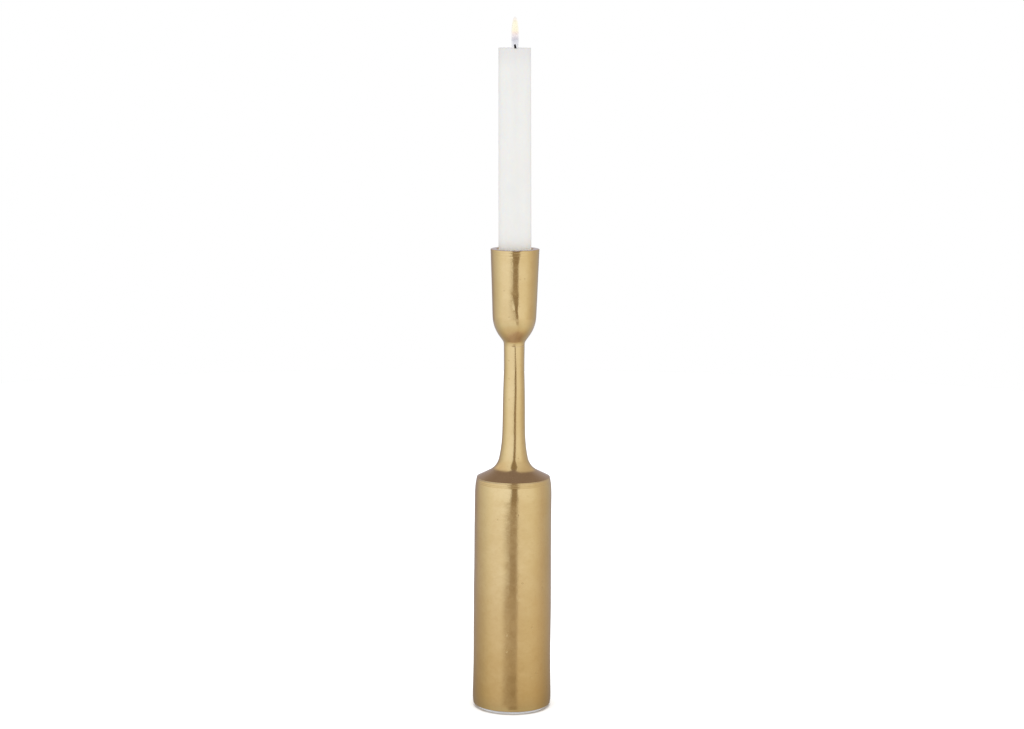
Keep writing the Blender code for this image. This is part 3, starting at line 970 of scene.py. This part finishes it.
def make_table_shade():
    """What the metal sees of the table: the object's own shade on it, painted in as a tint,
    darkest at the foot.
    """
    reach_of_shade = TABLE_SHADE[-1][0]
    shade = make_disc("table_shade", reach_of_shade)
    material, tree, shader, place = start_material("table_shade")
    tree.nodes.remove(shader)
    across = node(tree, "ShaderNodeVectorMath", {0: place}, operation="LENGTH").outputs["Value"]
    share = spread(tree, across, 0.0, reach_of_shade, smooth=False)
    colour = ramp(tree, share, [(far / reach_of_shade, tint) for far, tint in TABLE_SHADE])
    tint = node(tree, "ShaderNodeBsdfTransparent", {"Color": colour})
    tree.links.new(tint.outputs[0], tree.nodes["Material Output"].inputs["Surface"])
    shade.data.materials.append(material)
    shade.visible_camera = False
    shade.visible_diffuse = False
    shade.visible_shadow = False
    shade.visible_transmission = False


def degrees_round(stops):
    """Ramp places for compass bearings: -180 is behind, 0 towards the viewer, +90 to the right."""
    return [((bearing + 180.0) / 360.0, colour) for bearing, colour in stops]


def degrees_up(stops):
    """Ramp places for rises: -90 is straight down, +90 straight up."""
    return [((rise + 90.0) / 180.0, colour) for rise, colour in stops]


# The tent's colours by bearing: about level with the object, lower down and high up. All of
# them are tinted by rise.
TENT = [
    (-180, (0.575, 0.57, 0.70)),
    (-173, (0.45, 0.42, 0.50)),
    (-164, (0.35, 0.30, 0.34)),
    (-144, (0.34, 0.30, 0.31)),
    (-116, (0.53, 0.484, 0.445)),
    (-97, (0.62, 0.59, 0.55)),
    (-74, (0.765, 0.74, 0.70)),
    (-60, (0.825, 0.80, 0.80)),
    (-35, (0.85, 0.835, 0.84)),
    (-10, (0.84, 0.825, 0.83)),
    (20, (0.80, 0.75, 0.70)),
    (47, (0.79, 0.745, 0.68)),
    (60, (0.75, 0.70, 0.625)),
    (74, (0.665, 0.60, 0.50)),
    (97, (0.54, 0.46, 0.39)),
    (116, (0.486, 0.431, 0.375)),
    (144, (0.42, 0.39, 0.40)),
    (164, (0.36, 0.32, 0.35)),
    (173, (0.45, 0.42, 0.50)),
    (180, (0.575, 0.57, 0.70)),
]
TENT_BY_RISE = [
    (-90, (0.68, 0.585, 0.60)),
    (-64, (0.69, 0.60, 0.61)),
    (-48, (0.84, 0.81, 0.74)),
    (-30, (0.895, 0.905, 0.86)),
    (-20, (0.88, 0.85, 0.80)),
    (-15, (0.90, 0.87, 0.82)),
    (-12.2, (0.95, 0.93, 0.90)),
    (-9, (1.0, 1.0, 1.0)),
    (90, (1.0, 1.0, 1.0)),
]
LOW_TENT = [
    (-180, (0.575, 0.57, 0.70)),
    (-173, (0.50, 0.50, 0.62)),
    (-164, (0.46, 0.45, 0.55)),
    (-144, (0.46, 0.45, 0.54)),
    (-116, (0.54, 0.51, 0.51)),
    (-97, (0.61, 0.585, 0.56)),
    (-74, (0.765, 0.74, 0.70)),
    (-60, (0.825, 0.80, 0.80)),
    (-35, (0.855, 0.84, 0.85)),
    (-10, (0.85, 0.835, 0.84)),
    (20, (0.80, 0.76, 0.72)),
    (47, (0.82, 0.79, 0.74)),
    (60, (0.82, 0.78, 0.73)),
    (74, (0.78, 0.73, 0.67)),
    (97, (0.66, 0.60, 0.54)),
    (116, (0.57, 0.53, 0.52)),
    (144, (0.50, 0.48, 0.56)),
    (164, (0.46, 0.45, 0.55)),
    (173, (0.50, 0.50, 0.62)),
    (180, (0.575, 0.57, 0.70)),
]
HIGH_TENT = [
    (-180, (0.62, 0.53, 0.47)),
    (-130, (0.66, 0.57, 0.50)),
    (-80, (0.72, 0.65, 0.58)),
    (-30, (0.80, 0.77, 0.74)),
    (20, (0.72, 0.66, 0.60)),
    (80, (0.60, 0.53, 0.45)),
    (130, (0.52, 0.44, 0.37)),
    (180, (0.62, 0.53, 0.47)),
]
# The slit that the lens looks in through. Each row says how an edge (in degrees of bearing),
# its blur or a share changes between two rises in degrees: rise, rise, value, value.
LEFT_EDGE = (-11.4, -10.8, -18.5, -8.5)
LEFT_EDGE_LOW = (-13.4, -11.6, -8.0, 0.0)    # added to the left edge
LEFT_BLUR = (-12.6, -11.0, 11.0, 1.5)
RIGHT_EDGE = (-11.3, -10.5, 11.6, 16.4)
RIGHT_EDGE_LOW = (-13.4, -12.2, 4.2, 0.0)    # added to the right edge
RIGHT_BLUR = (-12.6, -11.6, 4.5, 2.5)
WIDER_ABOVE = (8.0, 80.0, 0.0, 26.0)         # each edge moves out
THINNER_ABOVE = (-8.6, -7.8, 0.0, 2.3)       # each edge moves in
NARROW_BELOW = (-21.5, -19.0, 1.0, 0.0)      # share of the next two
LEFT_EDGE_BACK = 17.0
LEFT_BLUR_LESS = 8.0
SLIT_STARTS = (-34.0, -25.0)                 # it fades in between these rises
SLIT_BY_RISE = [
    (-20.6, (0.42, 0.35, 0.28)),
    (-19.4, (0.68, 0.62, 0.57)),
    (-17.4, (0.66, 0.60, 0.555)),
    (-16, (0.57, 0.52, 0.48)),
    (-15, (0.445, 0.385, 0.325)),
    (-14.1, (0.415, 0.35, 0.28)),
    (-13.2, (0.40, 0.325, 0.245)),
    (-12.4, (0.375, 0.30, 0.22)),
    (-11.4, (0.29, 0.22, 0.15)),
    (-9.5, (0.265, 0.20, 0.138)),
    (90, (0.265, 0.20, 0.138)),
]
# The dark roof is what a surface that faces up far enough mirrors towards the lens.
ROOF = (0.232, 0.178, 0.176)
LOW_ROOF = (0.34, 0.30, 0.36)
TO_LENS = (0.0, -0.982, 0.189)   # from the shoulder
ROOF_EDGE = (0.71, 0.82)         # Z of the surface's normal where the roof starts and is full
ROOF_TILT = 0.07                 # the roof comes down lower on the left
ROOF_AT_SLIT = (0.0, 0.21, 0.10, 0.0)   # and near the slit
ROOF_OVER = (0.06, 0.24)         # it fades in between these heights on the unit sphere
DIFFUSE_LIGHT = (0.975, 0.98, 0.985)


def tent_colour(tree, turn_degrees, rise_degrees, rise_share):
    round_share = spread(tree, turn_degrees, -180.0, 180.0, smooth=False)
    tent = ramp(tree, round_share, degrees_round(TENT))
    high_tent = ramp(tree, round_share, degrees_round(HIGH_TENT))
    tent = blend_colours(tree, spread(tree, rise_degrees, 4.0, 30.0), tent, high_tent)
    low_tent = ramp(tree, round_share, degrees_round(LOW_TENT))
    low_share = spread(tree, rise_degrees, -14.5, -11.5, 1.0, 0.0)
    tent = blend_colours(tree, low_share, tent, low_tent)
    by_rise = ramp(tree, rise_share, degrees_up(TENT_BY_RISE))
    return blend_colours(tree, 1.0, tent, by_rise, "MULTIPLY")


def slit_share(tree, turn_degrees, rise_degrees):
    """1 in the slit and 0 beside it, with soft edges."""
    def by_rise(row, smooth=True):
        return spread(tree, rise_degrees, *row, smooth=smooth)

    wider = maths(tree, "SUBTRACT", by_rise(WIDER_ABOVE), by_rise(THINNER_ABOVE))
    narrow = by_rise(NARROW_BELOW)
    left = maths(tree, "ADD", by_rise(LEFT_EDGE, smooth=False), by_rise(LEFT_EDGE_LOW))
    left = maths(tree, "ADD", left, maths(tree, "MULTIPLY", narrow, LEFT_EDGE_BACK))
    left = maths(tree, "SUBTRACT", left, wider)
    left_blur = maths(tree, "SUBTRACT", by_rise(LEFT_BLUR),
                      maths(tree, "MULTIPLY", narrow, LEFT_BLUR_LESS))
    right = maths(tree, "ADD", by_rise(RIGHT_EDGE, smooth=False), by_rise(RIGHT_EDGE_LOW))
    right = maths(tree, "ADD", right, wider)
    right_blur = by_rise(RIGHT_BLUR)
    past_left = spread(tree, turn_degrees, maths(tree, "SUBTRACT", left, left_blur),
                       maths(tree, "ADD", left, left_blur))
    before_right = spread(tree, turn_degrees, maths(tree, "SUBTRACT", right, right_blur),
                          maths(tree, "ADD", right, right_blur), 1.0, 0.0)
    share = maths(tree, "MULTIPLY", past_left, before_right)
    return maths(tree, "MULTIPLY", share, by_rise(SLIT_STARTS))


def roof_share(tree, direction, height):
    """1 where the roof is, by the normal of the surface that mirrors a direction to the lens."""
    normal = node(tree, "ShaderNodeVectorMath", {0: direction, 1: TO_LENS}, operation="ADD")
    normal = node(tree, "ShaderNodeVectorMath", {0: normal.outputs["Vector"]},
                  operation="NORMALIZE")
    parts = node(tree, "ShaderNodeSeparateXYZ", {"Vector": normal.outputs["Vector"]}).outputs
    upright = maths(tree, "SUBTRACT", parts["Z"], maths(tree, "MULTIPLY", parts["X"], ROOF_TILT))
    aside = maths(tree, "ABSOLUTE", parts["X"])
    upright = maths(tree, "ADD", upright, spread(tree, aside, *ROOF_AT_SLIT))
    return maths(tree, "MULTIPLY", spread(tree, upright, *ROOF_EDGE),
                 spread(tree, height, *ROOF_OVER))


def make_world():
    """A white tent, slit at the lens and dark overhead, for the metal to reflect.

    Matt surfaces are lit evenly, and the view itself sees white.
    """
    world = bpy.data.worlds.new("studio")
    bpy.context.scene.world = world
    world.use_nodes = True
    tree = world.node_tree
    tree.nodes.clear()
    direction = node(tree, "ShaderNodeTexCoord").outputs["Generated"]
    parts = node(tree, "ShaderNodeSeparateXYZ", {"Vector": direction}).outputs
    away = maths(tree, "MULTIPLY", parts["Y"], -1.0)
    turn_degrees = maths(tree, "DEGREES", maths(tree, "ARCTAN2", parts["X"], away))
    rise_degrees = maths(tree, "DEGREES", maths(tree, "ARCSINE", parts["Z"]))
    rise_share = spread(tree, rise_degrees, -90.0, 90.0, smooth=False)
    colour = tent_colour(tree, turn_degrees, rise_degrees, rise_share)
    slit_colour = ramp(tree, rise_share, degrees_up(SLIT_BY_RISE))
    slit = slit_share(tree, turn_degrees, rise_degrees)
    colour = blend_colours(tree, slit, colour, slit_colour)
    roof_colour = blend_colours(tree, spread(tree, parts["Z"], 0.30, 0.75), LOW_ROOF, ROOF)
    roof = roof_share(tree, direction, parts["Z"])
    colour = blend_colours(tree, roof, colour, roof_colour)
    rays = node(tree, "ShaderNodeLightPath").outputs
    colour = blend_colours(tree, rays["Is Diffuse Ray"], colour, DIFFUSE_LIGHT)
    colour = blend_colours(tree, rays["Is Camera Ray"], colour, (1.0, 1.0, 1.0))
    studio = node(tree, "ShaderNodeBackground", {"Color": colour, "Strength": 1.0})
    node(tree, "ShaderNodeOutputWorld", {"Surface": studio.outputs[0]})
    world.cycles.sampling_method = "NONE"


def main():
    make_camera()
    make_world()
    make_overhead_light(make_floor())
    make_table_shade()
    pieces = {
        make_pillar(): ("holder", "pillar_brass", "pillar_body"),
        make_stem(): ("holder", "stem_brass", "stem"),
        make_cup(): ("holder", "cup_brass", "candle_cup"),
        make_felt_pad(): ("holder", "felt", "felt_pad"),
        make_tie_rod(): ("holder", "rod_steel", "tie_rod"),
        make_candle(): ("candle", "wax", "candle"),
        make_wick(): ("candle", "burnt_cotton", "wick"),
    }
    for piece, (body, slot, replaced) in pieces.items():
        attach(piece, body)
        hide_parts(replaced)
    flame = make_flame()
    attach(flame, "candle")
    # The metal mirrors only the tent: in the shoulder, the stem, cup and candle would show as
    # spots that the photo doesn't have.
    for piece in [*pieces, *finish_carried_nodes()]:
        piece.visible_glossy = False
    scene = bpy.context.scene
    scene.view_settings.view_transform = "Standard"
    scene.view_settings.look = "None"


main()
